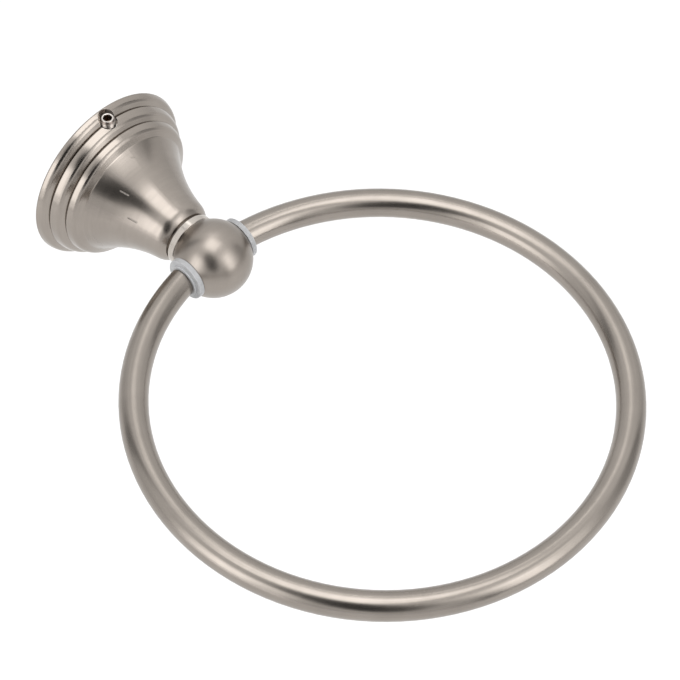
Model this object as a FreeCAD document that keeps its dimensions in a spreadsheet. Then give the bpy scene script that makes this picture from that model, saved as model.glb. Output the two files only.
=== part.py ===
import FreeCAD, Part
import math
import os
import re
import Sketcher
from FreeCAD import Placement, Rotation, Vector

# Towel ring on a stepped bell post, in millimetres.
# The wall is the plane Y = 0. The post runs along -Y, +Z is up, and X lies along the pivot of the ring.
doc = FreeCAD.newDocument("TowelRing")

# Driving sizes
SIZES = {
    # Post: from the wall to the ball's centre
    "reach": 52.2,
    # Flange: three bands, each gently bowed as far as a rounded shoulder, from which it falls steeply
    "rim_r": 31.0,
    "rim_edge": 0.5,
    "rim_fall": 0.65,
    "groove1_at": 3.8,
    "rim_drop": 3.5,
    "nose2_step": 1.0,
    "band2_fall": 1.1,
    "band2_len": 4.8,
    "band2_drop": 3.7,
    "nose3_step": 0.95,
    "band3_fall": 0.9,
    "band3_len": 4.3,
    "band3_drop": 3.66,
    "band_bow": 12.0,
    "steep_len": 1.4,
    "shoulder_round": 2.0,
    "crease_round": 1.2,
    # Bell: one hollow curve from the flange to the neck, then a rounded lip
    "flare_bow": 47.0,
    "neck_r": 11.29,
    "lip_len": 3.8,
    "lip_r": 8.95,
    "lip_bow": 6.0,
    "seat_len": 1.1,
    "seat_r": 8.1,
    # Inside of the bell
    "wall": 2.5,
    "flange_wall": 3.5,
    "rim_wall": 3.75,
    "recess_depth": 2.4,
    "recess_gap_deg": 28.0,
    "web_len": 8.0,
    # Collar and ball
    "collar_r": 9.4,
    "collar_len": 2.6,
    "collar_ledge": 0.3,
    "collar_bevel": 0.25,
    "ball_r": 13.02,
    "spigot_r": 6.0,
    "spigot_seat": 2.0,
    "bore_web": 9.4,
    # Screw that holds the ball
    "screw_r": 2.5,
    "screw_len": 16.0,
    "screw_hole_r": 2.75,
    "screw_head_r": 4.75,
    "screw_head_len": 3.2,
    "cross_len": 5.2,
    "cross_wide": 1.1,
    "cross_depth": 1.9,
    "washer_r": 4.5,
    "washer_len": 1.2,
    "washer_slit": 1.0,
    # Set screw and its seat in the flange
    "set_at": 3.6,
    "set_r": 2.5,
    "set_len": 11.0,
    "set_tip_r": 0.5,
    "set_bevel": 0.7,
    "key_flat": 1.25,
    "key_depth": 3.0,
    "bore_r": 3.2,
    "bore_land": 2.0,
    "boss_half": 5.5,
    "boss_reach": 5.2,
    "boss_root": 0.4,
    "boss_gap": 1.9,
    # Wall bracket
    "bracket_half_wide": 10.0,
    "bracket_len": 7.6,
    "bracket_gap": 3.4,
    "bracket_round": 3.0,
    "vee_depth": 2.1,
    "hook_half": 5.0,
    "hook_rise": 2.6,
    "fixing_pitch": 22.0,
    "fixing_hole_r": 2.25,
    "fixing_head_r": 4.5,
    "fixing_head_depth": 3.2,
    # Bushes at the ball's two sides
    "spot_drop": 2.05,
    "flange_r": 7.35,
    "flange_len": 1.85,
    "shoulder_r": 5.6,
    "shoulder_len": 0.65,
    "sleeve_r": 3.75,
    "bush_round": 0.3,
    # Ring
    "hoop_r": 78.1,
    "tube_r": 4.75,
    "tube_wall": 1.2,
    "stud_r": 2.5,
    "stud_bevel": 0.4,
    "stud_root": 1.5,
    "plug_len": 9.0,
    # Clearances
    "fit_gap": 0.05,
    "end_gap": 0.3,
    "play": 0.1,
}
sheet = doc.addObject("Spreadsheet::Sheet", "Sizes")
for row, (alias, number) in enumerate(SIZES.items(), 1):
    sheet.set(f"A{row}", alias)
    sheet.set(f"B{row}", str(number))
    sheet.setAlias(f"B{row}", alias)
doc.recompute()


def size(text):
    """The expression for a formula written with the sheet's aliases."""
    return re.sub(r"[a-z][a-z0-9_]*", lambda word: ("Sizes." if word[0] in SIZES else "") + word[0], text)


# Places that follow from the sizes, measured from the wall along the post
GROOVE2_AT = "(groove1_at + band2_len)"
FLARE_AT = f"({GROOVE2_AT} + band3_len)"
BALL_FLAT = "sqrt(ball_r^2 - (collar_r - collar_ledge)^2)"
COLLAR_END = f"(reach - {BALL_FLAT})"
NECK_END = f"({COLLAR_END} - collar_len)"
LIP_END = f"({NECK_END} - seat_len)"
NECK_AT = f"({LIP_END} - lip_len)"
WEB_AT = f"({NECK_END} - web_len)"
HEAD_AT = f"({WEB_AT} - washer_len)"
SPIGOT_END = f"({NECK_END} - spigot_seat)"
SCREW_TIP = f"({HEAD_AT} + screw_len)"
# Radii and heights that follow from the sizes, measured from the post's axis
GROOVE1_R = "(rim_r - rim_drop)"
BAND2_R = f"({GROOVE1_R} + nose2_step)"
GROOVE2_R = f"({BAND2_R} - band2_drop)"
BAND3_R = f"({GROOVE2_R} + nose3_step)"
BELL_R = f"({BAND3_R} - band3_drop)"
SHOULDER1_AT = "(groove1_at - steep_len)"
SHOULDER1_R = "(rim_r - rim_fall)"
SHOULDER2_AT = f"({GROOVE2_AT} - steep_len)"
SHOULDER2_R = f"({BAND2_R} - band2_fall)"
SHOULDER3_AT = f"({FLARE_AT} - steep_len)"
SHOULDER3_R = f"({BAND3_R} - band3_fall)"
POCKET_R = f"({GROOVE1_R} - flange_wall)"
RECESS_R = "(rim_r - rim_wall)"
BRACKET_HALF = f"({POCKET_R} - bracket_gap)"
VEE_ROOT = f"({BRACKET_HALF} - vee_depth + fit_gap)"
SET_TIP = f"({VEE_ROOT} + set_tip_r)"
SET_TOP = f"({SET_TIP} + set_len)"
BOSS_LOW = f"({BRACKET_HALF} + boss_gap)"
BORE_FLOOR = f"({POCKET_R} + bore_land)"
# Places along the pivot, measured from the ball's centre
SPOT_AT = "(ball_r - spot_drop)"
BUSH_IN = "(bore_web / 2 + end_gap)"
BUSH_OUT = f"({SPOT_AT} + flange_len + shoulder_len)"
TUBE_END = f"({BUSH_OUT} + play)"
STUD_TIP = f"({BUSH_IN} + end_gap)"
HOOP_SETBACK = f"sqrt(hoop_r^2 - {TUBE_END}^2)"
HOOP_AT = f"(reach + {HOOP_SETBACK})"
TUBE_BORE = "(tube_r - tube_wall)"
# The bell's curve is an arc about a point outside it, and its inside is an arc about the same point
FLARE_SPAN = f"({NECK_AT} - {FLARE_AT})"
FLARE_DROP = f"({BELL_R} - neck_r)"
FLARE_RISE = f"sqrt(flare_bow^2 / ({FLARE_SPAN}^2 + {FLARE_DROP}^2) - 0.25)"
FLARE_W = f"({FLARE_AT} + {FLARE_SPAN} / 2 + {FLARE_RISE} * {FLARE_DROP})"
FLARE_R = f"(neck_r + {FLARE_DROP} / 2 + {FLARE_RISE} * {FLARE_SPAN})"
INNER_BOW = "(flare_bow + wall)"
INNER_R = f"({FLARE_R} - sqrt({INNER_BOW}^2 - ({FLARE_W} - {WEB_AT})^2))"
INNER_AT = f"({FLARE_W} - sqrt({INNER_BOW}^2 - ({FLARE_R} - {POCKET_R})^2))"


def value(text):
    """The number that a formula gives now."""
    return float(sheet.evalExpression(size(text).replace("Sizes.", "")))


def body(label):
    part = doc.addObject("PartDesign::Body", label)
    part.Label = label
    return part


def sketch(part, name, plane, shift=None):
    """A sketch on an origin plane of its own body. shift maps x, y or z to a formula."""
    made = part.newObject("Sketcher::SketchObject", name)
    made.AttachmentSupport = [(next(o for o in part.Origin.OriginFeatures if o.Role == plane), "")]
    made.MapMode = "FlatFace"
    for axis, text in (shift or {}).items():
        made.setExpression(f".AttachmentOffset.Base.{axis}", size(text))
    doc.recompute()
    return made


def bind(made, kind, where, text):
    """A dimension of a sketch, bound to a formula."""
    index = made.addConstraint(Sketcher.Constraint(kind, *where, value(text)))
    made.setExpression(f"Constraints[{index}]", size(text))


def bowed(start, end, radius, side):
    """An arc from start to end. side is +1 where it bulges to the left of the way it runs."""
    half = (end - start) * 0.5
    rise = math.sqrt(max(radius**2 - half.Length**2, 0.0))
    left = Vector(-half.y, half.x, 0) / half.Length
    middle = start + half - left * rise * side
    top = middle + left * radius * side
    return Part.Arc(start, top, end)


def outline(made, corners):
    """A closed outline. A corner is (x, y) in formulas, or (x, y, radius, side) where an arc leaves it."""
    points = [Vector(value(c[0]), value(c[1]), 0) for c in corners]
    first = made.GeometryCount
    for i, corner in enumerate(corners):
        start, end = points[i], points[(i + 1) % len(points)]
        if len(corner) == 2:
            made.addGeometry(Part.LineSegment(start, end), False)
        else:
            made.addGeometry(bowed(start, end, value(corner[2]), corner[3]), False)
    heads = []
    for i, corner in enumerate(corners):
        arc = len(corner) == 4
        flipped = arc and (made.getPoint(first + i, 1) - points[i]).Length > 1e-6
        heads.append((2, 1) if flipped else (1, 2))
    for i, corner in enumerate(corners):
        after = (i + 1) % len(corners)
        made.addConstraint(Sketcher.Constraint(
            "Coincident", first + i, heads[i][1], first + after, heads[after][0]))
        bind(made, "DistanceX", (-1, 1, first + i, heads[i][0]), corner[0])
        bind(made, "DistanceY", (-1, 1, first + i, heads[i][0]), corner[1])
        if len(corner) == 4:
            bind(made, "Radius", (first + i,), corner[2])
    doc.recompute()


def circle(made, x, y, radius):
    centre = Vector(value(x), value(y), 0)
    index = made.addGeometry(Part.Circle(centre, Vector(0, 0, 1), value(radius)), False)
    bind(made, "DistanceX", (-1, 1, index, 3), x)
    bind(made, "DistanceY", (-1, 1, index, 3), y)
    bind(made, "Radius", (index,), radius)
    doc.recompute()


def feature(part, kind, name, profile, **settings):
    """A PartDesign feature on a sketch. Text settings are formulas."""
    made = part.newObject(f"PartDesign::{kind}", name)
    made.Profile = profile
    for key, setting in settings.items():
        if key == "axis":
            made.ReferenceAxis = (profile, [setting])
        elif isinstance(setting, str) and key != "Type":
            made.setExpression(key, size(setting))
        else:
            setattr(made, key, setting)
    profile.Visibility = False
    doc.recompute()
    if kind in ("Pocket", "Groove") and made.Shape.Volume > made.BaseFeature.Shape.Volume - 1e-3:
        raise RuntimeError(f"{name} removes nothing")
    return made


def rims(made, places):
    """The names of the round edges at (distance from the wall, radius) of a turned shape."""
    found = []
    for at, radius in places:
        for number, edge in enumerate(made.Shape.Edges, 1):
            if not isinstance(edge.Curve, Part.Circle):
                continue
            if abs(edge.Curve.Radius - value(radius)) < 1e-4 and abs(edge.Curve.Center.y + value(at)) < 1e-4:
                found.append(f"Edge{number}")
    return found


def dress(part, kind, name, base, edges, key, text):
    """A fillet or a chamfer on named edges."""
    made = part.newObject(f"PartDesign::{kind}", name)
    made.Base = (base, edges)
    made.setExpression(key, size(text))
    doc.recompute()
    return made


# Bell post: a hollow casting, turned outline
bell = body("bell_post")
section = sketch(bell, "BellSection", "YZ_Plane")
outline(section, [
    ("0", POCKET_R),
    ("0", "rim_r"),
    ("-rim_edge", "rim_r", "band_bow", -1),
    (f"-{SHOULDER1_AT}", SHOULDER1_R),
    ("-groove1_at", GROOVE1_R),
    ("-groove1_at", BAND2_R, "band_bow", -1),
    (f"-{SHOULDER2_AT}", SHOULDER2_R),
    (f"-{GROOVE2_AT}", GROOVE2_R),
    (f"-{GROOVE2_AT}", BAND3_R, "band_bow", -1),
    (f"-{SHOULDER3_AT}", SHOULDER3_R),
    (f"-{FLARE_AT}", BELL_R, "flare_bow", 1),
    (f"-{NECK_AT}", "neck_r", "lip_bow", -1),
    (f"-{LIP_END}", "lip_r"),
    (f"-{LIP_END}", "seat_r"),
    (f"-{NECK_END}", "seat_r"),
    (f"-{NECK_END}", "spigot_r + fit_gap"),
    (f"-({SPIGOT_END} - end_gap)", "spigot_r + fit_gap"),
    (f"-({SPIGOT_END} - end_gap)", "screw_hole_r"),
    (f"-{WEB_AT}", "screw_hole_r"),
    (f"-{WEB_AT}", INNER_R, INNER_BOW, -1),
    (f"-{INNER_AT}", POCKET_R),
])
turned = feature(bell, "Revolution", "BellTurned", section, axis="H_Axis", Angle=360.0)
eased = dress(bell, "Fillet", "BandNoses", turned, rims(turned, [
    ("groove1_at", BAND2_R), (GROOVE2_AT, BAND3_R)]), "Radius", "nose3_step / 2")
eased = dress(bell, "Fillet", "RimRound", eased, rims(eased, [("rim_edge", "rim_r"), ("0", "rim_r")]),
              "Radius", "rim_edge / 2")
eased = dress(bell, "Fillet", "Shoulders", eased, rims(eased, [
    (SHOULDER1_AT, SHOULDER1_R),
    (SHOULDER2_AT, SHOULDER2_R),
    (SHOULDER3_AT, SHOULDER3_R),
]), "Radius", "shoulder_round")
eased = dress(bell, "Fillet", "Crease", eased, rims(eased, [(FLARE_AT, BELL_R)]), "Radius", "crease_round")

# Boss for the set screw, inside the flange
boss = sketch(bell, "BossOutline", "XY_Plane", {"z": BOSS_LOW})
outline(boss, [
    ("-boss_half", "-boss_root"),
    ("-boss_half", "-(set_at + boss_reach)"),
    ("boss_half", "-(set_at + boss_reach)"),
    ("boss_half", "-boss_root"),
])
feature(bell, "Pad", "Boss", boss, Length=f"{POCKET_R} + boss_root - {BOSS_LOW}")

# Hook opposite the boss: a wedge that sits in the bracket's lower groove
hook = sketch(bell, "HookOutline", "YZ_Plane")
outline(hook, [
    ("-(set_at - set_tip_r)", f"-{SET_TIP}"),
    ("-(set_at - set_tip_r - hook_rise)", f"-({SET_TIP} + hook_rise)"),
    ("-(set_at - set_tip_r - hook_rise)", f"-({POCKET_R} + boss_root)"),
    ("-(set_at + set_tip_r + hook_rise)", f"-({POCKET_R} + boss_root)"),
    ("-(set_at + set_tip_r + hook_rise)", f"-({SET_TIP} + hook_rise)"),
    ("-(set_at + set_tip_r)", f"-{SET_TIP}"),
])
feature(bell, "Pad", "Hook", hook, Length="2 * hook_half", Midplane=True)

# Relief behind the rim, left out at the boss
relief = sketch(bell, "ReliefOutline", "YZ_Plane")
outline(relief, [
    ("boss_root", f"-({POCKET_R} - fit_gap)"),
    ("boss_root", f"-{RECESS_R}"),
    ("-recess_depth", f"-{RECESS_R}"),
    ("-recess_depth", f"-({POCKET_R} - fit_gap)"),
])
feature(bell, "Groove", "Relief", relief, axis="H_Axis", Angle="360 - recess_gap_deg", Midplane=True)

# Counterbore and tapped hole of the set screw
mouth = sketch(bell, "ScrewMouth", "XY_Plane", {"z": f"{SET_TOP} + rim_wall"})
circle(mouth, "0", "-set_at", "bore_r")
feature(bell, "Pocket", "Counterbore", mouth, Length=f"{SET_TOP} + rim_wall - {BORE_FLOOR}")
tapped = sketch(bell, "ScrewHole", "XY_Plane", {"z": f"{SET_TOP} + rim_wall"})
circle(tapped, "0", "-set_at", "set_r + fit_gap")
feature(bell, "Pocket", "TappedHole", tapped, Length=f"{SET_TOP} + rim_wall - {BOSS_LOW} + boss_root")

# Collar: a turned ring between the neck and the ball
collar = body("neck_collar")
ring = sketch(collar, "CollarSection", "YZ_Plane")
outline(ring, [
    (f"-{NECK_END}", "spigot_r + fit_gap"),
    (f"-{NECK_END}", "collar_r - collar_bevel"),
    (f"-({NECK_END} + collar_bevel)", "collar_r"),
    (f"-({COLLAR_END} - collar_bevel)", "collar_r"),
    (f"-{COLLAR_END}", "collar_r - collar_bevel"),
    (f"-{COLLAR_END}", "spigot_r + fit_gap"),
])
feature(collar, "Revolution", "CollarTurned", ring, axis="H_Axis", Angle=360.0)

# Ball: a turned knuckle with a spigot, a tapped hole from behind and a stepped bore from each side
ball = body("ball_knuckle")
knob = sketch(ball, "BallSection", "YZ_Plane")
outline(knob, [
    (f"-{SPIGOT_END}", "screw_r + fit_gap"),
    (f"-{SPIGOT_END}", "spigot_r"),
    (f"-{COLLAR_END}", "spigot_r"),
    (f"-{COLLAR_END}", "collar_r - collar_ledge", "ball_r", -1),
    ("-(reach + ball_r)", "0"),
    (f"-({SCREW_TIP} + washer_len + screw_r)", "0"),
    (f"-({SCREW_TIP} + washer_len)", "screw_r + fit_gap"),
])
feature(ball, "Revolution", "BallTurned", knob, axis="H_Axis", Angle=360.0)
bores = sketch(ball, "BushBores", "XY_Plane", {"y": "-reach"})
for way in ("", "-"):
    outline(bores, [
        (f"{way}bore_web / 2", "0"),
        (f"{way}bore_web / 2", "sleeve_r + fit_gap"),
        (f"{way}{SPOT_AT}", "sleeve_r + fit_gap"),
        (f"{way}{SPOT_AT}", "ball_r"),
        (f"{way}(ball_r + boss_root)", "ball_r"),
        (f"{way}(ball_r + boss_root)", "0"),
    ])
feature(ball, "Groove", "StepBores", bores, axis="H_Axis", Angle=360.0)

# Screw from inside the bell: domed head with a cross recess
screw = body("ball_screw")
shank = sketch(screw, "ScrewSection", "YZ_Plane")
outline(shank, [
    (f"-({HEAD_AT} - screw_head_len)", "0"),
    (f"-({HEAD_AT} - screw_head_len)", "screw_head_r - screw_head_len / 2", "screw_head_r", 1),
    (f"-({HEAD_AT} - screw_head_len / 3)", "screw_head_r"),
    (f"-{HEAD_AT}", "screw_head_r"),
    (f"-{HEAD_AT}", "screw_r"),
    (f"-({SCREW_TIP} - stud_bevel)", "screw_r"),
    (f"-{SCREW_TIP}", "screw_r - stud_bevel"),
    (f"-{SCREW_TIP}", "0"),
])
feature(screw, "Revolution", "ScrewTurned", shank, axis="H_Axis", Angle=360.0)
cross = sketch(screw, "CrossRecess", "XZ_Plane", {"z": f"{HEAD_AT} - screw_head_len"})
outline(cross, [
    ("-cross_len / 2", "-cross_wide / 2"), ("-cross_wide / 2", "-cross_wide / 2"),
    ("-cross_wide / 2", "-cross_len / 2"), ("cross_wide / 2", "-cross_len / 2"),
    ("cross_wide / 2", "-cross_wide / 2"), ("cross_len / 2", "-cross_wide / 2"),
    ("cross_len / 2", "cross_wide / 2"), ("cross_wide / 2", "cross_wide / 2"),
    ("cross_wide / 2", "cross_len / 2"), ("-cross_wide / 2", "cross_len / 2"),
    ("-cross_wide / 2", "cross_wide / 2"), ("-cross_len / 2", "cross_wide / 2"),
])
feature(screw, "Pocket", "Cross", cross, Length="cross_depth", Reversed=True)

# Split washer under the head
washer = body("lock_washer")
disc = sketch(washer, "WasherRing", "XZ_Plane", {"z": HEAD_AT})
circle(disc, "0", "0", "washer_r")
circle(disc, "0", "0", "screw_r + fit_gap")
feature(washer, "Pad", "WasherPad", disc, Length="washer_len")
slit = sketch(washer, "WasherSlit", "XZ_Plane", {"z": HEAD_AT})
outline(slit, [
    ("-washer_slit / 2", "0"),
    ("washer_slit / 2", "0"),
    ("washer_slit / 2", "washer_r + play"),
    ("-washer_slit / 2", "washer_r + play"),
])
feature(washer, "Pocket", "Slit", slit, Length="washer_len", Reversed=True)

# Set screw: a hex socket at the top and a cone point in the bracket's groove
grub = body("set_screw")
point = sketch(grub, "SetScrewSection", "XZ_Plane", {"z": "set_at"})
outline(point, [
    ("0", SET_TIP),
    ("set_tip_r", SET_TIP),
    ("set_r", f"{SET_TIP} + set_r - set_tip_r"),
    ("set_r", f"{SET_TOP} - set_bevel"),
    ("set_r - set_bevel", SET_TOP),
    ("0", SET_TOP),
])
feature(grub, "Revolution", "SetScrewTurned", point, axis="V_Axis", Angle=360.0)
socket = sketch(grub, "KeySocket", "XY_Plane", {"y": "-set_at", "z": SET_TOP})
outline(socket, [(f"2 * key_flat / sqrt(3) * sin({60 * corner} deg)",
                  f"2 * key_flat / sqrt(3) * cos({60 * corner} deg)") for corner in range(6)])
feature(grub, "Pocket", "Socket", socket, Length="key_depth")

# Wall bracket: a block with a groove along its top and bottom and two fixing holes
plate = body("wall_bracket")
block = sketch(plate, "BracketOutline", "XZ_Plane")
outline(block, [
    ("-bracket_half_wide", f"-{BRACKET_HALF}"),
    ("bracket_half_wide", f"-{BRACKET_HALF}"),
    ("bracket_half_wide", BRACKET_HALF),
    ("-bracket_half_wide", BRACKET_HALF),
])
blank = feature(plate, "Pad", "BracketBlock", block, Length="bracket_len")
corners = [f"Edge{n}" for n, e in enumerate(blank.Shape.Edges, 1)
           if abs(abs(e.tangentAt(e.FirstParameter).y) - 1) < 1e-6]
dress(plate, "Fillet", "BracketCorners", blank, corners, "Radius", "bracket_round")
vees = sketch(plate, "BracketGrooves", "YZ_Plane")
for way in ("", "-"):
    outline(vees, [
        ("-set_at", f"{way}({BRACKET_HALF} - vee_depth)"),
        ("-(set_at + vee_depth + play)", f"{way}({BRACKET_HALF} + play)"),
        ("-(set_at - vee_depth - play)", f"{way}({BRACKET_HALF} + play)"),
    ])
feature(plate, "Pocket", "Grooves", vees, Length="2 * bracket_half_wide + boss_root", Midplane=True)
for hole_name, hole_radius, hole_depth in (
        ("FixingHoles", "fixing_hole_r", "bracket_len + boss_root"),
        ("FixingHeads", "fixing_head_r", "fixing_head_depth")):
    holes = sketch(plate, hole_name + "Outline", "XZ_Plane", {"z": "bracket_len"})
    for way in ("", "-"):
        circle(holes, "0", f"{way}fixing_pitch / 2", hole_radius)
    feature(plate, "Pocket", hole_name, holes, Length=hole_depth)

# Hoop: a tube bent to a circle, open at the ball, its two ends cut square to the pivot and eased outside
hoop = body("towel_hoop")
tube = sketch(hoop, "TubeSection", "YZ_Plane", {"x": f"-{HOOP_AT}"})
circle(tube, "-hoop_r", "0", "tube_r")
circle(tube, "-hoop_r", "0", TUBE_BORE)
HALF_OPEN = f"(asin({TUBE_END} / hoop_r) - asin(tube_r / hoop_r))"
feature(hoop, "Revolution", "TubeBent", tube, axis="V_Axis", Midplane=True,
        Angle=f"360 deg - 2 * {HALF_OPEN}")


def square_off(part, name):
    """Cuts the ring at the two planes that face the bushes, past the tube on every side."""
    gap = sketch(part, name + "Outline", "XY_Plane", {"y": "-reach"})
    outline(gap, [
        (f"-{TUBE_END}", "-2 * tube_r"),
        (TUBE_END, "-2 * tube_r"),
        (TUBE_END, "2 * tube_r"),
        (f"-{TUBE_END}", "2 * tube_r"),
    ])
    feature(part, "Pocket", name, gap, Length="4 * tube_r", Midplane=True)


square_off(hoop, "TubeEnds")
outer = 2 * math.pi * value("tube_r - tube_wall / 2")
mouths = [f"Edge{n}" for n, e in enumerate(hoop.Tip.Shape.Edges, 1)
          if not isinstance(e.Curve, Part.Circle) and e.Length > outer]
dress(hoop, "Fillet", "TubeMouths", hoop.Tip, mouths, "Radius", "tube_wall / 3")


def pivot_plug(label):
    """A plug along the tube's bore, with a stud on the pivot's axis. Drawn at +X."""
    plug = body(label)
    core = sketch(plug, "CoreSection", "YZ_Plane", {"x": f"-{HOOP_AT}"})
    circle(core, "hoop_r", "0", f"{TUBE_BORE} - fit_gap")
    feature(plug, "Revolution", "Core", core, axis="V_Axis", Reversed=True,
            Angle=f"asin({TUBE_END} / hoop_r) + asin(plug_len / hoop_r)")
    square_off(plug, "CoreEnd")
    pin = sketch(plug, "StudSection", "XY_Plane", {"y": "-reach"})
    outline(pin, [
        (STUD_TIP, "0"),
        (STUD_TIP, "stud_r - stud_bevel"),
        (f"{STUD_TIP} + stud_bevel", "stud_r"),
        (f"{TUBE_END} + stud_root", "stud_r"),
        (f"{TUBE_END} + stud_root", "0"),
    ])
    feature(plug, "Revolution", "Stud", pin, axis="H_Axis", Angle=360.0)
    return plug


def bush(label):
    """A flanged bush with a raised shoulder that meets the tube's end. Drawn at +X."""
    made = body(label)
    wall = sketch(made, "BushSection", "XY_Plane", {"y": "-reach"})
    outline(wall, [
        (BUSH_IN, "stud_r + fit_gap"),
        (BUSH_IN, "sleeve_r"),
        (SPOT_AT, "sleeve_r"),
        (SPOT_AT, "flange_r"),
        (f"{SPOT_AT} + flange_len - bush_round", "flange_r", "bush_round", 1),
        (f"{SPOT_AT} + flange_len", "flange_r - bush_round"),
        (f"{SPOT_AT} + flange_len", "shoulder_r"),
        (f"{BUSH_OUT} - bush_round", "shoulder_r", "bush_round", 1),
        (BUSH_OUT, "shoulder_r - bush_round"),
        (BUSH_OUT, "stud_r + fit_gap"),
    ])
    feature(made, "Revolution", "BushTurned", wall, axis="H_Axis", Angle=360.0)
    return made


# The left-hand plug and bush are the right-hand ones turned half round the post
for hand, turn in (("right", 0), ("left", 180)):
    for made in (pivot_plug(f"pivot_plug_{hand}"), bush(f"bush_{hand}")):
        made.Placement = Placement(Vector(0, 0, 0), Rotation(Vector(0, 1, 0), turn))
doc.recompute()

# Every object and every solid is sound before anything is written
failed = [o.Name for o in doc.Objects if "Invalid" in o.State or "Error" in o.State]
if failed:
    raise RuntimeError(f"failed: {failed}")
bodies = [o for o in doc.Objects if o.TypeId == "PartDesign::Body"]
for part in bodies:
    if part.Shape.isNull() or not part.Shape.isValid() or len(part.Shape.Solids) != 1:
        raise RuntimeError(f"{part.Label} is not one sound solid")
os.makedirs("parts", exist_ok=True)
for part in bodies:
    part.Shape.exportStep(f"parts/{part.Label}.step")
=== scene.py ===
import bpy
import numpy as np
from mathutils import Matrix, Vector


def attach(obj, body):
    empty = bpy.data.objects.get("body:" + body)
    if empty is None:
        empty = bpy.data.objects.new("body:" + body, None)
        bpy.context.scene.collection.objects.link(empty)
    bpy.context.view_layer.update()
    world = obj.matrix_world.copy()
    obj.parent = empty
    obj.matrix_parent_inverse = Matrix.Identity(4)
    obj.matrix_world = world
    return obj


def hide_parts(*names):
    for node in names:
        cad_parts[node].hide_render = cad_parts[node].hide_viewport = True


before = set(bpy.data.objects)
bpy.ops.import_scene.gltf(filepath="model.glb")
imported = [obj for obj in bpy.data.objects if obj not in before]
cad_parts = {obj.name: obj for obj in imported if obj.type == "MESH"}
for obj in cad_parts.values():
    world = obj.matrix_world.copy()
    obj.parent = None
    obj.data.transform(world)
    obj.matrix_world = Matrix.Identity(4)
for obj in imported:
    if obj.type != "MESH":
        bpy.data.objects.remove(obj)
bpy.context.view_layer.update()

# The camera stands in front of the wall, to the left of the post and above it, looking down at the ring.
# Its lens is long, so that the ring shows almost without perspective.
camera_place = (-0.369593, -0.471407, 0.692287)
camera_right = Vector((0.70463, -0.70954, 0.00613)).normalized()
camera_back = Vector((-0.43187, -0.42200, 0.79712)).normalized()
camera_up = camera_back.cross(camera_right).normalized()
camera_right = camera_up.cross(camera_back)
camera_turn = Matrix((camera_right, camera_up, camera_back)).transposed()
camera_data = bpy.data.cameras.new("camera")
camera_data.sensor_width = 36.0
camera_data.lens = 144.2
camera_data.clip_start, camera_data.clip_end = 0.05, 20.0
camera = bpy.data.objects.new("camera", camera_data)
camera.matrix_world = Matrix.Translation(camera_place) @ camera_turn.to_4x4()
bpy.context.scene.collection.objects.link(camera)
bpy.context.scene.camera = camera
bpy.context.scene.view_settings.view_transform = "Standard"


# The studio: a room of pale walls, which the metal mirrors as a soft white, brighter towards the ceiling.
# The light that falls on the piece is half as strong as the walls look, so a colour keeps its own tone.
def add(tree, kind, inputs=(), **settings):
    """A node of the tree. Settings are its properties, and inputs give a socket a number, colour or link."""
    made = tree.nodes.new(kind)
    for key, setting in settings.items():
        setattr(made, key, setting)
    for key, fed in dict(inputs).items():
        if isinstance(fed, bpy.types.NodeSocket):
            tree.links.new(fed, made.inputs[key])
        else:
            made.inputs[key].default_value = fed
    return made


def reckon(tree, operation, first, second=0.0, clamp=False):
    """The result of one Math node."""
    return add(tree, "ShaderNodeMath", {0: first, 1: second}, operation=operation, use_clamp=clamp).outputs[0]


def spread(tree, fed, low, high, new_low, new_high):
    """A value between low and high, stretched to another range and kept inside it."""
    return add(tree, "ShaderNodeMapRange", {0: fed, 1: low, 2: high, 3: new_low, 4: new_high}).outputs[0]


def seen_directly(tree):
    """1 for what the camera sees straight, in a mirror or through glass, and 0 for light that falls softly."""
    path = add(tree, "ShaderNodeLightPath").outputs
    mirrored = reckon(tree, "MAXIMUM", path["Is Camera Ray"], path["Is Glossy Ray"])
    return reckon(tree, "MAXIMUM", mirrored, path["Is Transmission Ray"])


wall_bright, ceiling_bright, soft_share = 0.88, 1.25, 0.5
room = bpy.data.worlds.new("studio_room")
bpy.context.scene.world = room
room.use_nodes = True
room_tree = room.node_tree
room_tree.nodes.clear()
way = add(room_tree, "ShaderNodeTexCoord").outputs["Generated"]
upwards = add(room_tree, "ShaderNodeSeparateXYZ", {0: way}).outputs[2]
walls = spread(room_tree, upwards, 0.0, 1.0, wall_bright, ceiling_bright)
straight = add(room_tree, "ShaderNodeLightPath").outputs["Is Camera Ray"]
mirrored_walls = reckon(room_tree, "MULTIPLY", walls, reckon(room_tree, "SUBTRACT", 1.0, straight))
looks = reckon(room_tree, "ADD", mirrored_walls, straight)
share = spread(room_tree, seen_directly(room_tree), 0.0, 1.0, soft_share, 1.0)
room_light = reckon(room_tree, "MULTIPLY", looks, share)
room_glow = add(room_tree, "ShaderNodeBackground", {"Color": (1, 1, 1, 1), "Strength": room_light})
add(room_tree, "ShaderNodeOutputWorld", {"Surface": room_glow.outputs[0]})


# The floor: matt white paper, far enough below the post for the ring to hang down, so the shadow is faint.
# Away from the lamps the paper is lifted more, so that it runs into the white behind it without an edge.
def flat_sheet(name, middle, normal, upright, width, height):
    """A rectangle with its middle at a point: it faces along normal, and its height runs along upright."""
    out = Vector(normal).normalized()
    up = (Vector(upright) - out * Vector(upright).dot(out)).normalized()
    across = up.cross(out)
    corners = [Vector(middle) + across * (x * width / 2) + up * (y * height / 2)
               for x, y in ((-1, -1), (1, -1), (1, 1), (-1, 1))]
    mesh = bpy.data.meshes.new(name)
    mesh.from_pydata([tuple(corner) for corner in corners], [], [(0, 1, 2, 3)])
    mesh.uv_layers.new(name="edge_to_edge").data.foreach_set("uv", (0, 0, 1, 0, 1, 1, 0, 1))
    sheet = bpy.data.objects.new(name, mesh)
    bpy.context.scene.collection.objects.link(sheet)
    return sheet


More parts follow.
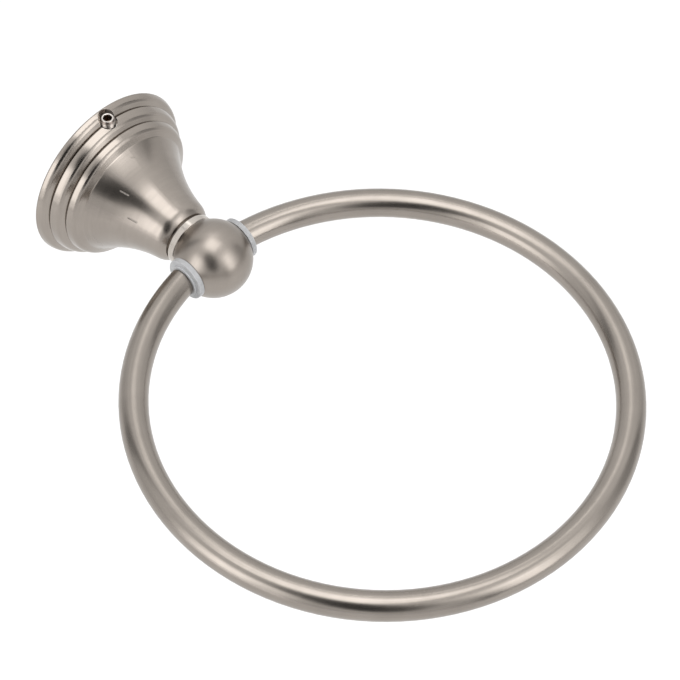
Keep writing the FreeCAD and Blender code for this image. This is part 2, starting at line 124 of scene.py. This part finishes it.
def own_place(tree):
    """The place of each point of the piece, in metres."""
    return add(tree, "ShaderNodeTexCoord").outputs["Object"]


def reckon_vectors(tree, operation, first, second):
    """The result of one Vector Math node: a number for a distance or a dot product, or else a vector."""
    results = add(tree, "ShaderNodeVectorMath", {0: first, 1: second}, operation=operation).outputs
    return results["Value" if operation in ("DISTANCE", "DOT_PRODUCT") else "Vector"]


floor_middle, floor_side = (0, 0, -0.45), 8.0
lamplit_to, dim_from, lamplit_lift, dim_lift = 0.8, 2.8, 0.40, 0.55
floor = flat_sheet("floor", floor_middle, (0, 0, 1), (0, 1, 0), floor_side, floor_side)
paper = bpy.data.materials.new("white_paper")
paper.use_nodes = True
paper_tree = paper.node_tree
paper_tree.nodes.clear()
paper_base = add(paper_tree, "ShaderNodeBsdfDiffuse", {"Color": (0.8, 0.8, 0.8, 1)})
paper_far = reckon_vectors(paper_tree, "DISTANCE", own_place(paper_tree), floor_middle)
paper_lift = spread(paper_tree, paper_far, lamplit_to, dim_from, lamplit_lift, dim_lift)
paper_light = reckon(paper_tree, "MULTIPLY", seen_directly(paper_tree), paper_lift)
paper_glow = add(paper_tree, "ShaderNodeEmission", {"Color": (1, 1, 1, 1), "Strength": paper_light})
paper_sum = add(paper_tree, "ShaderNodeAddShader", {0: paper_base.outputs[0], 1: paper_glow.outputs[0]})
add(paper_tree, "ShaderNodeOutputMaterial", {"Surface": paper_sum.outputs[0]})
floor.data.materials.append(paper)

# The soft lamps: a broad one in front of the wall and one at the left, each with a narrow strip near its
# middle, and one overhead. All of them face a point just in front of the ball.
lamp_aim = Vector((0, -0.09, 0))


def towards(azimuth, elevation):
    """The unit vector at an azimuth from +X towards +Y, and an elevation, in degrees."""
    turn, rise = np.radians(azimuth), np.radians(elevation)
    return Vector((np.cos(rise) * np.cos(turn), np.cos(rise) * np.sin(turn), np.sin(rise)))


for name, azimuth, elevation, distance, width, height, watts in (
        ("front_softbox", -78, 30, 1.6, 1.15, 1.60, 4.2),
        ("front_strip", -81, 22, 1.5, 0.46, 1.30, 2.6),
        ("left_softbox", 173, 14, 1.5, 1.20, 1.45, 4.6),
        ("left_strip", 170, 18, 1.4, 0.60, 0.90, 1.9),
        ("top_softbox", 97, 87, 1.5, 0.98, 0.98, 5.6)):
    lamp_data = bpy.data.lights.new(name, "AREA")
    lamp_data.shape = "RECTANGLE"
    lamp_data.size, lamp_data.size_y = width, height
    lamp_data.energy = watts
    lamp = bpy.data.objects.new(name, lamp_data)
    lamp.location = lamp_aim + towards(azimuth, elevation) * distance
    lamp.rotation_euler = towards(azimuth, elevation).to_track_quat("Z", "Y").to_euler()
    bpy.context.scene.collection.objects.link(lamp)

# The cards, seen only in the metal, draw its shape: dark cloth round the camera, at the front lamp's edge and
# at the left, a grey card and a dark strip at the right, and a narrow bright strip under the ceiling.
# Each is firm in its middle and fades towards its edges, by the distance from the middle of its own UV map.
for name, azimuth, elevation, lean, distance, width, height, tone, firm in (
        ("camera_cloth", -143, 39, towards(-168, 66) - towards(-118, 6), 1.3, 1.04, 1.76, 0.04, 0.68),
        ("lamp_edge", -99, 3, (0, 0, 1), 1.3, 0.17, 1.20, 0.05, 0.6),
        ("left_card", 113, 27, towards(98, 62) - towards(118, -5), 1.6, 0.44, 2.55, 0.10, 0.4),
        ("ceiling_strip", 45, 56, (0, 0, 1), 1.5, 1.15, 0.22, 2.60, 0.4),
        ("right_card", -35, 12, (0, 0, 1), 1.6, 0.90, 2.00, 0.56, 0.45),
        ("right_edge", -25, 20, (0, 0, 1), 1.5, 0.15, 1.30, 0.10, 0.5)):
    out = towards(azimuth, elevation)
    card = flat_sheet(name, lamp_aim + out * distance, -out, lean, width, height)
    card_face = bpy.data.materials.new(name)
    card_face.use_nodes = True
    card_tree = card_face.node_tree
    card_tree.nodes.clear()
    on_sheet = add(card_tree, "ShaderNodeTexCoord").outputs["UV"]
    from_middle = reckon_vectors(card_tree, "DISTANCE", on_sheet, (0.5, 0.5, 0))
    solid = spread(card_tree, from_middle, firm / 2, 0.5, 1.0, 0.0)
    clear = add(card_tree, "ShaderNodeBsdfTransparent").outputs[0]
    glow = add(card_tree, "ShaderNodeEmission", {"Color": (1, 1, 1, 1), "Strength": tone}).outputs[0]
    faded = add(card_tree, "ShaderNodeMixShader", {0: solid, 1: clear, 2: glow}).outputs[0]
    add(card_tree, "ShaderNodeOutputMaterial", {"Surface": faded})
    card.data.materials.append(card_face)
    card.visible_camera = False
    card.visible_shadow = False
    card.visible_diffuse = False


# Bell post: a hollow zinc casting, its outside turned and brushed, then plated with satin nickel.
# Brushing leaves fine lines round the axis, and the plating is a little cloudy. The inside is left as cast.
def off_axis(tree, x, y):
    """The distance r of a point from an axis, by r r = x x + y y."""
    squares = reckon(tree, "ADD", reckon(tree, "MULTIPLY", x, x), reckon(tree, "MULTIPLY", y, y))
    return reckon(tree, "SQRT", squares)


def lines_round(tree, centre, turn, across, along):
    """Fine lines that run round an axis through centre. The noise is read in four dimensions: the height on
    the axis and the distance r from it, both times across, and the direction (x, y) / r, times along."""
    moved = reckon_vectors(tree, "SUBTRACT", own_place(tree), centre)
    turned = add(tree, "ShaderNodeMapping", {"Vector": moved, "Rotation": turn}).outputs[0]
    x, y, z = add(tree, "ShaderNodeSeparateXYZ", {0: turned}).outputs
    r = off_axis(tree, x, y)
    u = reckon(tree, "MULTIPLY", reckon(tree, "DIVIDE", x, r), along)
    v = reckon(tree, "MULTIPLY", reckon(tree, "DIVIDE", y, r), along)
    w = reckon(tree, "MULTIPLY", z, across)
    read_at = add(tree, "ShaderNodeCombineXYZ", {0: u, 1: v, 2: w}).outputs[0]
    noise = add(tree, "ShaderNodeTexNoise", {
        "Vector": read_at, "W": reckon(tree, "MULTIPLY", r, across),
        "Scale": 1.0, "Detail": 4.0, "Roughness": 0.6}, noise_dimensions="4D")
    return noise.outputs["Fac"], r, z


def clouds(tree, scale, detail):
    """A soft random pattern over the piece: scale blots to the metre, with detail layers of finer ones."""
    blots = add(tree, "ShaderNodeTexNoise", {"Vector": own_place(tree), "Scale": scale, "Detail": detail})
    return blots.outputs["Fac"]


def blend(tree, share, first, second):
    """A colour between two, by a share from 0 to 1."""
    mix = add(tree, "ShaderNodeMix", data_type="RGBA")
    for socket, fed in ((mix.inputs[0], share), (mix.inputs[6], first), (mix.inputs[7], second)):
        if isinstance(fed, bpy.types.NodeSocket):
            tree.links.new(fed, socket)
        else:
            socket.default_value = fed
    return mix.outputs[2]


def share_of(tree, fed, none, full):
    """0 where a value is at none, 1 where it is at full, and in proportion between them."""
    return spread(tree, fed, none, full, 0.0, 1.0)


def weigh(tree, first, second, share):
    """The mean of two values, in which the first has this share."""
    first_part = reckon(tree, "MULTIPLY", first, share)
    return reckon(tree, "ADD", first_part, reckon(tree, "MULTIPLY", second, 1.0 - share))


def shift(tree, value, share, amount):
    """A value moved by an amount where the share is 1, and left alone where it is 0."""
    return reckon(tree, "ADD", value, reckon(tree, "MULTIPLY", share, amount))


def brushed_metal(name, turn, centre, pale, deep, rough, line_depth):
    """A plated and brushed metal: its colour, roughness and relief follow the lines and clouds.
    It gives back the material, its tree, and the sockets for colour, roughness, distance r and height."""
    made = bpy.data.materials.new(name)
    made.use_nodes = True
    tree = made.node_tree
    skin = tree.nodes["Principled BSDF"]
    skin.inputs["Metallic"].default_value = 1.0
    fine, r, height = lines_round(tree, centre, turn, across=3000.0, along=2.0)
    broad, _, _ = lines_round(tree, centre, turn, across=700.0, along=1.2)
    lines = weigh(tree, fine, broad, 0.5)
    tone = weigh(tree, lines, clouds(tree, scale=90.0, detail=3.0), 0.6)
    least, most, rough_play = 0.35, 0.65, 0.03
    colour = blend(tree, share_of(tree, tone, none=least, full=most), deep, pale)
    dull = spread(tree, tone, least, most, rough + rough_play, rough - rough_play)
    brushed = add(tree, "ShaderNodeBump", {"Height": lines, "Strength": 1.0, "Distance": line_depth})
    waves, wave_depth = clouds(tree, scale=130.0, detail=1.0), 0.00003
    uneven = add(tree, "ShaderNodeBump", {
        "Height": waves, "Strength": 1.0, "Distance": wave_depth, "Normal": brushed.outputs[0]})
    tree.links.new(colour, skin.inputs["Base Color"])
    tree.links.new(dull, skin.inputs["Roughness"])
    tree.links.new(uneven.outputs[0], skin.inputs["Normal"])
    return made, tree, colour, dull, r, height


def dress(node, material):
    """Gives a CAD node one material."""
    solid_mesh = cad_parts[node].data
    solid_mesh.materials.clear()
    solid_mesh.materials.append(material)


def near_line(tree, start, end, width):
    """1 along a short straight line between two points of the piece, out to 0.4 of width, and 0 past width.
    With p the point less start and d the line, the nearest part is t = p . d / d . d, kept from 0 to 1."""
    start, end = Vector(start), Vector(end)
    line = end - start
    p = reckon_vectors(tree, "SUBTRACT", own_place(tree), start)
    t = reckon(tree, "ADD", reckon_vectors(tree, "DOT_PRODUCT", p, line / line.dot(line)), 0.0, clamp=True)
    foot = add(tree, "ShaderNodeVectorMath", {0: line, "Scale": t}, operation="SCALE").outputs[0]
    return share_of(tree, reckon_vectors(tree, "DISTANCE", p, foot), none=width, full=width * 0.4)


post_axis, about_post = (0, 0, 0), (np.pi / 2, 0, 0)
nickel_pale, nickel_deep = (0.335, 0.300, 0.268, 1), (0.290, 0.258, 0.230, 1)
bell_metal, bell_tree, bell_colour, bell_dull, bell_r, bell_up = brushed_metal(
    "satin_nickel_bell", about_post, post_axis, nickel_pale, nickel_deep, rough=0.25, line_depth=0.000004)
bell_skin = bell_tree.nodes["Principled BSDF"]
# The three bands of the flange are buffed smoother than the flare, and their grooves are painted dark, in
# patches: painted shade. A groove is given by its distance from the wall and from the axis.
band_buffing, least_groove_shade, painted_groove_shade_colour = 0.06, 0.45, (0.075, 0.062, 0.050, 1)
band_share = share_of(bell_tree, bell_r, none=0.0216, full=0.0224)
banded = shift(bell_tree, bell_dull, band_share, -band_buffing)
wall_gap = reckon(bell_tree, "ABSOLUTE", bell_up)
painted_groove_shade = 0.0
for groove_gap, groove_r in ((0.0038, 0.0275), (0.0086, 0.0248)):
    beside = reckon(bell_tree, "ABSOLUTE", reckon(bell_tree, "SUBTRACT", wall_gap, groove_gap))
    near = share_of(bell_tree, beside, none=0.00028, full=0.0001)
    low = share_of(bell_tree, bell_r, none=groove_r + 0.0007, full=groove_r + 0.0002)
    painted_groove_shade = reckon(bell_tree, "MAXIMUM", painted_groove_shade, reckon(bell_tree, "MULTIPLY", near, low))
patches = spread(bell_tree, clouds(bell_tree, scale=75.0, detail=1.0), 0.40, 0.60, least_groove_shade, 1.0)
painted_groove_shade = reckon(bell_tree, "MULTIPLY", painted_groove_shade, patches)
# Painted shade: the grooves are darkened here, in patches.
grooves_painted_dark = blend(bell_tree, painted_groove_shade, bell_colour, painted_groove_shade_colour)
# Three small marks of use on the flare: a bright scratch, a dark nick and a faint spot.
scratch = near_line(bell_tree, (-0.00977, -0.01924, 0.01447), (-0.00867, -0.0218, 0.01344), width=0.00020)
nick = near_line(bell_tree, (-0.01214, -0.02512, 0.00775), (-0.01124, -0.02793, 0.0071), width=0.00032)
spot = near_line(bell_tree, (0.00005, -0.01548, 0.02001), (-0.00068, -0.01509, 0.02029), width=0.00045)
marked = grooves_painted_dark
for mark, strength, mark_colour in ((scratch, 0.35, (0.52, 0.50, 0.48, 1)),
                                    (nick, 0.3, (0.08, 0.075, 0.07, 1)),
                                    (spot, 0.22, (0.10, 0.09, 0.08, 1))):
    marked = blend(bell_tree, reckon(bell_tree, "MULTIPLY", mark, strength), marked, mark_colour)
# Inside, where a surface faces the axis, or faces the wall within the hollow's radius, the zinc is left as
# cast: grainy and duller, and painted a paler grey than the bracket's cast zinc, a painted light that lifts the
# dark hollow.
facing = add(bell_tree, "ShaderNodeTexCoord").outputs["Normal"]
from_axis = reckon_vectors(bell_tree, "MULTIPLY", own_place(bell_tree), (1, 0, 1))
outwards = reckon_vectors(bell_tree, "DOT_PRODUCT", from_axis, facing)
facing_axis = share_of(bell_tree, outwards, none=-0.0005, full=-0.0015)
in_hollow = share_of(bell_tree, bell_r, none=0.0240, full=0.0238)
wallwards = add(bell_tree, "ShaderNodeSeparateXYZ", {0: facing}).outputs[1]
facing_wall = share_of(bell_tree, wallwards, none=0.6, full=0.8)
inside = reckon(bell_tree, "MAXIMUM", facing_axis, reckon(bell_tree, "MULTIPLY", facing_wall, in_hollow))
grain = clouds(bell_tree, scale=1400.0, detail=4.0)
grain_share = share_of(bell_tree, grain, none=0.35, full=0.65)
cast_grey_painted_pale = blend(bell_tree, grain_share, (0.44, 0.44, 0.44, 1), (0.58, 0.58, 0.585, 1))
# Painted light: the inside takes the pale cast grey here.
with_painted_shade_and_light = blend(bell_tree, inside, marked, cast_grey_painted_pale)
# The wall of the set screw's counterbore is painted pale: painted light that lifts the shade in the hole.
screw_axis = (0, -0.0036, 0)
counterbore_r, counterbore_floor = 0.0032, 0.0240
cut_place = reckon_vectors(bell_tree, "SUBTRACT", own_place(bell_tree), screw_axis)
cut_x, cut_y, cut_z = add(bell_tree, "ShaderNodeSeparateXYZ", {0: cut_place}).outputs
cut_r = off_axis(bell_tree, cut_x, cut_y)
within_cut = share_of(bell_tree, cut_r, none=counterbore_r + 0.00005, full=counterbore_r + 0.00001)
above_floor = share_of(bell_tree, cut_z, none=counterbore_floor, full=counterbore_floor + 0.0002)
painted_bore_share = reckon(bell_tree, "MULTIPLY", within_cut, above_floor)
painted_bore_light = blend(bell_tree, grain_share, (0.62, 0.58, 0.54, 1), (0.74, 0.70, 0.66, 1))
# Painted light: the counterbore takes the pale zinc colour here.
bell_tree.links.new(blend(bell_tree, painted_bore_share, with_painted_shade_and_light, painted_bore_light), bell_skin.inputs["Base Color"])
# The grooves and the cast inside are duller than the plating. The inside is grainy, and the marks are sunk.
groove_shade_dulling, cast_dulling, grain_share_of_dent, dent_depth = 0.3, 0.22, 0.5, 0.00008
groove_shade_dull = shift(bell_tree, banded, painted_groove_shade, groove_shade_dulling)
bell_tree.links.new(shift(bell_tree, groove_shade_dull, inside, cast_dulling), bell_skin.inputs["Roughness"])
grainy = reckon(bell_tree, "MULTIPLY", reckon(bell_tree, "MULTIPLY", grain, inside), grain_share_of_dent)
dents = reckon(bell_tree, "SUBTRACT", grainy, reckon(bell_tree, "ADD", scratch, nick))
brushed_relief = bell_skin.inputs["Normal"].links[0].from_socket
pitted = add(bell_tree, "ShaderNodeBump", {
    "Height": dents, "Strength": 1.0, "Distance": dent_depth, "Normal": brushed_relief})
bell_tree.links.new(pitted.outputs[0], bell_skin.inputs["Normal"])
dress("bell_post", bell_metal)

# Collar: a plain turned ring, plated like the post and left brighter.
# The ball screw clamps it between the neck and the ball.
collar_pale, collar_deep = (0.56, 0.52, 0.475, 1), (0.43, 0.39, 0.35, 1)
dress("neck_collar", brushed_metal("satin_nickel_collar", about_post, post_axis, collar_pale, collar_deep,
                                   rough=0.16, line_depth=0.000012)[0])

# Ball: a turned knuckle in the same satin nickel, bored from both sides for the bushes.
# Its spigot stands in the neck, where the ball screw holds it from inside the bell.
ball_pale, ball_deep = (0.325, 0.291, 0.260, 1), (0.298, 0.266, 0.237, 1)
dress("ball_knuckle", brushed_metal("satin_nickel_ball", about_post, post_axis, ball_pale, ball_deep,
                                    rough=0.31, line_depth=0.0000012)[0])

# Ring: steel tube bent to a circle and brushed along its length, then plated with satin nickel.
# It is open at the ball: each end has a plug pressed into it, whose stud turns in the bush there.
ring_centre, about_ring = (0, -0.1291, 0), (0, 0, 0)
ring_pale, ring_deep = (0.326, 0.293, 0.262, 1), (0.268, 0.240, 0.214, 1)
dress("towel_hoop", brushed_metal("satin_nickel_ring", about_ring, ring_centre, ring_pale, ring_deep,
                                  rough=0.25, line_depth=0.000008)[0])

# Bushes: flanged sleeves turned from white nylon, one pressed into each side of the ball.
# Nylon is a little translucent, so their flanges look grey between the metal parts.
nylon = bpy.data.materials.new("white_nylon")
nylon.use_nodes = True
nylon_tree = nylon.node_tree
nylon_skin = nylon_tree.nodes["Principled BSDF"]
nylon_deep, nylon_pale = (0.50, 0.505, 0.515, 1), (0.59, 0.595, 0.605, 1)
nylon_smooth, nylon_dull, nylon_grain_depth = 0.34, 0.48, 0.00002
milk = clouds(nylon_tree, scale=420.0, detail=3.0)
milk_least, milk_most = 0.3, 0.7
milk_share = share_of(nylon_tree, milk, none=milk_least, full=milk_most)
nylon_rough = spread(nylon_tree, milk, milk_least, milk_most, nylon_smooth, nylon_dull)
nylon_tree.links.new(blend(nylon_tree, milk_share, nylon_deep, nylon_pale), nylon_skin.inputs["Base Color"])
nylon_tree.links.new(nylon_rough, nylon_skin.inputs["Roughness"])
nylon_grain = add(nylon_tree, "ShaderNodeBump", {"Height": milk, "Strength": 0.6, "Distance": nylon_grain_depth})
nylon_tree.links.new(nylon_grain.outputs[0], nylon_skin.inputs["Normal"])
nylon_skin.inputs["Subsurface Weight"].default_value = 0.3
nylon_skin.inputs["Subsurface Radius"].default_value = (1.0, 1.0, 1.0)
nylon_skin.inputs["Subsurface Scale"].default_value = 0.0012
dress("bush_left", nylon)
dress("bush_right", nylon)


# Set screw: a plated steel M5 grub screw with a cone point, which pulls the bell onto its bracket when it is
# turned in with a hexagon key. Its side, bevel and socket are painted darker than its top: painted shade.
def ring_stack(name, radii, heights, place):
    """A closed surface of rings one below the other. Ring i has the radii[i] and the heights[i] at its points,
    and point j stands at the turn 2 pi j / n, so it lies at (r cos, r sin, h). A point closes each end."""
    rows, n = radii.shape
    turn = 2 * np.pi * np.arange(n) / n
    grid = np.stack([radii * np.cos(turn), radii * np.sin(turn), heights], axis=2).reshape(-1, 3)
    ends = np.array([[0, 0, heights[0].mean()], [0, 0, heights[-1].mean()]])
    points = np.concatenate([grid, ends]) + np.array(place)
    i, j = np.meshgrid(np.arange(rows - 1), np.arange(n), indexing="ij")
    after = (j + 1) % n
    quads = np.stack([i * n + j, (i + 1) * n + j, (i + 1) * n + after, i * n + after], axis=2).reshape(-1, 4)
    first, follow = np.arange(n), (np.arange(n) + 1) % n
    last = (rows - 1) * n
    lids = np.concatenate([np.stack([np.full(n, rows * n), first, follow], axis=1),
                           np.stack([np.full(n, rows * n + 1), last + follow, last + first], axis=1)])
    mesh = bpy.data.meshes.new(name)
    mesh.from_pydata(points.tolist(), [], quads.tolist() + lids.tolist())
    mesh.polygons.foreach_set("use_smooth", np.ones(len(mesh.polygons), bool))
    mesh.set_sharp_from_angle(angle=np.radians(32))
    piece = bpy.data.objects.new(name, mesh)
    bpy.context.scene.collection.objects.link(piece)
    return piece


# The thread runs from the bevel to the cone point, and its depths count down from the screw's flat top. Its
# wave is 0 at a crest and 1 at a root, and climbs one pitch in each turn. Stretched by 1.25 and lowered by 0.1,
# it leaves the crests and the roots a little flat, and it fades in and out at the thread's ends.
grub_top, grub_long = 0.03005, 0.011
grub_crest, grub_root, pitch = 0.00248, 0.00215, 0.0008
thread_start, thread_end, fade_in, fade_out = 0.00075, grub_long - 0.0021, 0.0005, 0.0006
key_half, key_deep = 0.00137, 0.003
points_round, rows_down = 96, 90
plain = np.ones(points_round)
around = 2 * np.pi * np.arange(points_round) / points_round
# The hexagon's radius is the distance to its flat over the cosine of the turn from the middle of that flat.
hexagon = key_half / np.cos((around + np.pi / 6) % (np.pi / 3) - np.pi / 6)
down = np.linspace(thread_start, thread_end, rows_down)[:, None]
wave = np.abs(((down / pitch + around / (2 * np.pi)) % 1.0) * 2 - 1)
fade = np.clip((down - thread_start) / fade_in, 0, 1) * np.clip((thread_end - down) / fade_out, 0, 1)
thread = grub_crest - (grub_crest - grub_root) * np.clip(wave * 1.25 - 0.1, 0, 1) * fade
# The radius and the height of each ring: up the socket, over its chamfer, across the top and down the bevel,
# then the thread, and last the cone point.
head = [(hexagon * 0.4, -key_deep - 0.0003), (hexagon * 0.96, -key_deep), (hexagon, -key_deep + 0.0001),
        (hexagon, -0.0002), (np.maximum(hexagon, 0.00152), -0.00004), (0.00162, 0.0), (0.00190, 0.0),
        (0.00198, -0.00005), (0.00242, -0.00062), (grub_crest, -0.0007)]
point = [(grub_crest, -grub_long + 0.00205), (0.0011, -grub_long + 0.0006), (0.0005, -grub_long + 0.0001),
         (0.0003, -grub_long)]
radii = np.vstack([radius * plain for radius, _ in head] + [thread] + [radius * plain for radius, _ in point])
levels = np.concatenate([[level for _, level in head], -down[:, 0], [level for _, level in point]])
grub = ring_stack("grub_screw", radii, levels[:, None] * plain, (screw_axis[0], screw_axis[1], grub_top))
grub_pale, grub_deep = (0.70, 0.66, 0.62, 1), (0.56, 0.52, 0.48, 1)
grub_metal, grub_tree, grub_colour, grub_dull, grub_r, grub_up = brushed_metal(
    "plated_steel_grub", (0, 0, 0), screw_axis, grub_pale, grub_deep, rough=0.24, line_depth=0.000004)
grub_skin = grub_tree.nodes["Principled BSDF"]
# The side is painted darker than the top, the bevel grey-brown and the socket dark brown: painted shade.
painted_side_shade = spread(grub_tree, grub_up, grub_top - 0.00075, grub_top - 0.00105, 0.0, 0.75)
grub_side_painted_dark = blend(grub_tree, painted_side_shade, grub_colour, (0.30, 0.26, 0.23, 1))
past_rim = share_of(grub_tree, grub_r, none=0.00198, full=0.00208)
near_top = share_of(grub_tree, grub_up, none=grub_top - 0.0009, full=grub_top - 0.0006)
painted_bevel_shade = reckon(grub_tree, "MULTIPLY", past_rim, near_top)
grub_bevel_painted_dark = blend(grub_tree, painted_bevel_shade, grub_side_painted_dark, (0.20, 0.165, 0.145, 1))
painted_socket_shade = share_of(grub_tree, grub_r, none=0.00154, full=0.00138)
grub_painted_shade = blend(grub_tree, painted_socket_shade, grub_bevel_painted_dark, (0.115, 0.070, 0.042, 1))
# Painted shade: the darkened side, bevel and socket become the screw's colour here.
grub_tree.links.new(grub_painted_shade, grub_skin.inputs["Base Color"])
grub_tree.links.new(reckon(grub_tree, "ADD", grub_dull, 0.05), grub_skin.inputs["Roughness"])
grub.data.materials.append(grub_metal)
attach(grub, "post")
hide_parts("set_screw")


# Wall bracket: a small die-cast zinc block, screwed to the wall, which the bell hangs over.
# The set screw's point presses into its groove. It is hidden in use, so it is left as cast.
def grainy_metal(name, pale, deep, rough, grain_size, grain_depth):
    """A metal with a fine random grain: colour, roughness and relief follow two sizes of noise."""
    made = bpy.data.materials.new(name)
    made.use_nodes = True
    tree = made.node_tree
    skin = tree.nodes["Principled BSDF"]
    skin.inputs["Metallic"].default_value = 1.0
    fine = clouds(tree, scale=1 / grain_size, detail=4.0)
    tone = weigh(tree, fine, clouds(tree, scale=0.15 / grain_size, detail=3.0), 0.5)
    least, most, rough_play = 0.38, 0.62, 0.07
    colour = blend(tree, share_of(tree, tone, none=least, full=most), deep, pale)
    dull = spread(tree, tone, least, most, rough + rough_play, rough - rough_play)
    tree.links.new(colour, skin.inputs["Base Color"])
    tree.links.new(dull, skin.inputs["Roughness"])
    relief = add(tree, "ShaderNodeBump", {"Height": fine, "Strength": 1.0, "Distance": grain_depth})
    tree.links.new(relief.outputs[0], skin.inputs["Normal"])
    return made


dress("wall_bracket", grainy_metal("cast_zinc", (0.46, 0.46, 0.465, 1), (0.33, 0.33, 0.34, 1),
                                   rough=0.45, grain_size=0.0007, grain_depth=0.00006))

# Ball screw and its spring washer: zinc-plated steel, hidden in the neck.
# The screw is turned in from inside the bell, and pulls the ball against the collar.
steel_pale, steel_deep = (0.60, 0.60, 0.58, 1), (0.47, 0.48, 0.49, 1)
dress("ball_screw", brushed_metal("plated_steel_screw", about_post, post_axis, steel_pale, steel_deep,
                                  rough=0.24, line_depth=0.000006)[0])
dress("lock_washer", grainy_metal("spring_steel", (0.52, 0.52, 0.52, 1), (0.36, 0.36, 0.37, 1),
                                  rough=0.32, grain_size=0.0005, grain_depth=0.00002))

# Pivot plugs: short plugs of the same steel, pressed into the tube's ends.
# Each has a stud, turned with it, that swings in its bush.
pivot_axis, about_pivot = (0, -0.0522, 0), (0, np.pi / 2, 0)
for plug in ("pivot_plug_left", "pivot_plug_right"):
    dress(plug, brushed_metal(plug + "_steel", about_pivot, pivot_axis, steel_pale, steel_deep,
                              rough=0.24, line_depth=0.000006)[0])
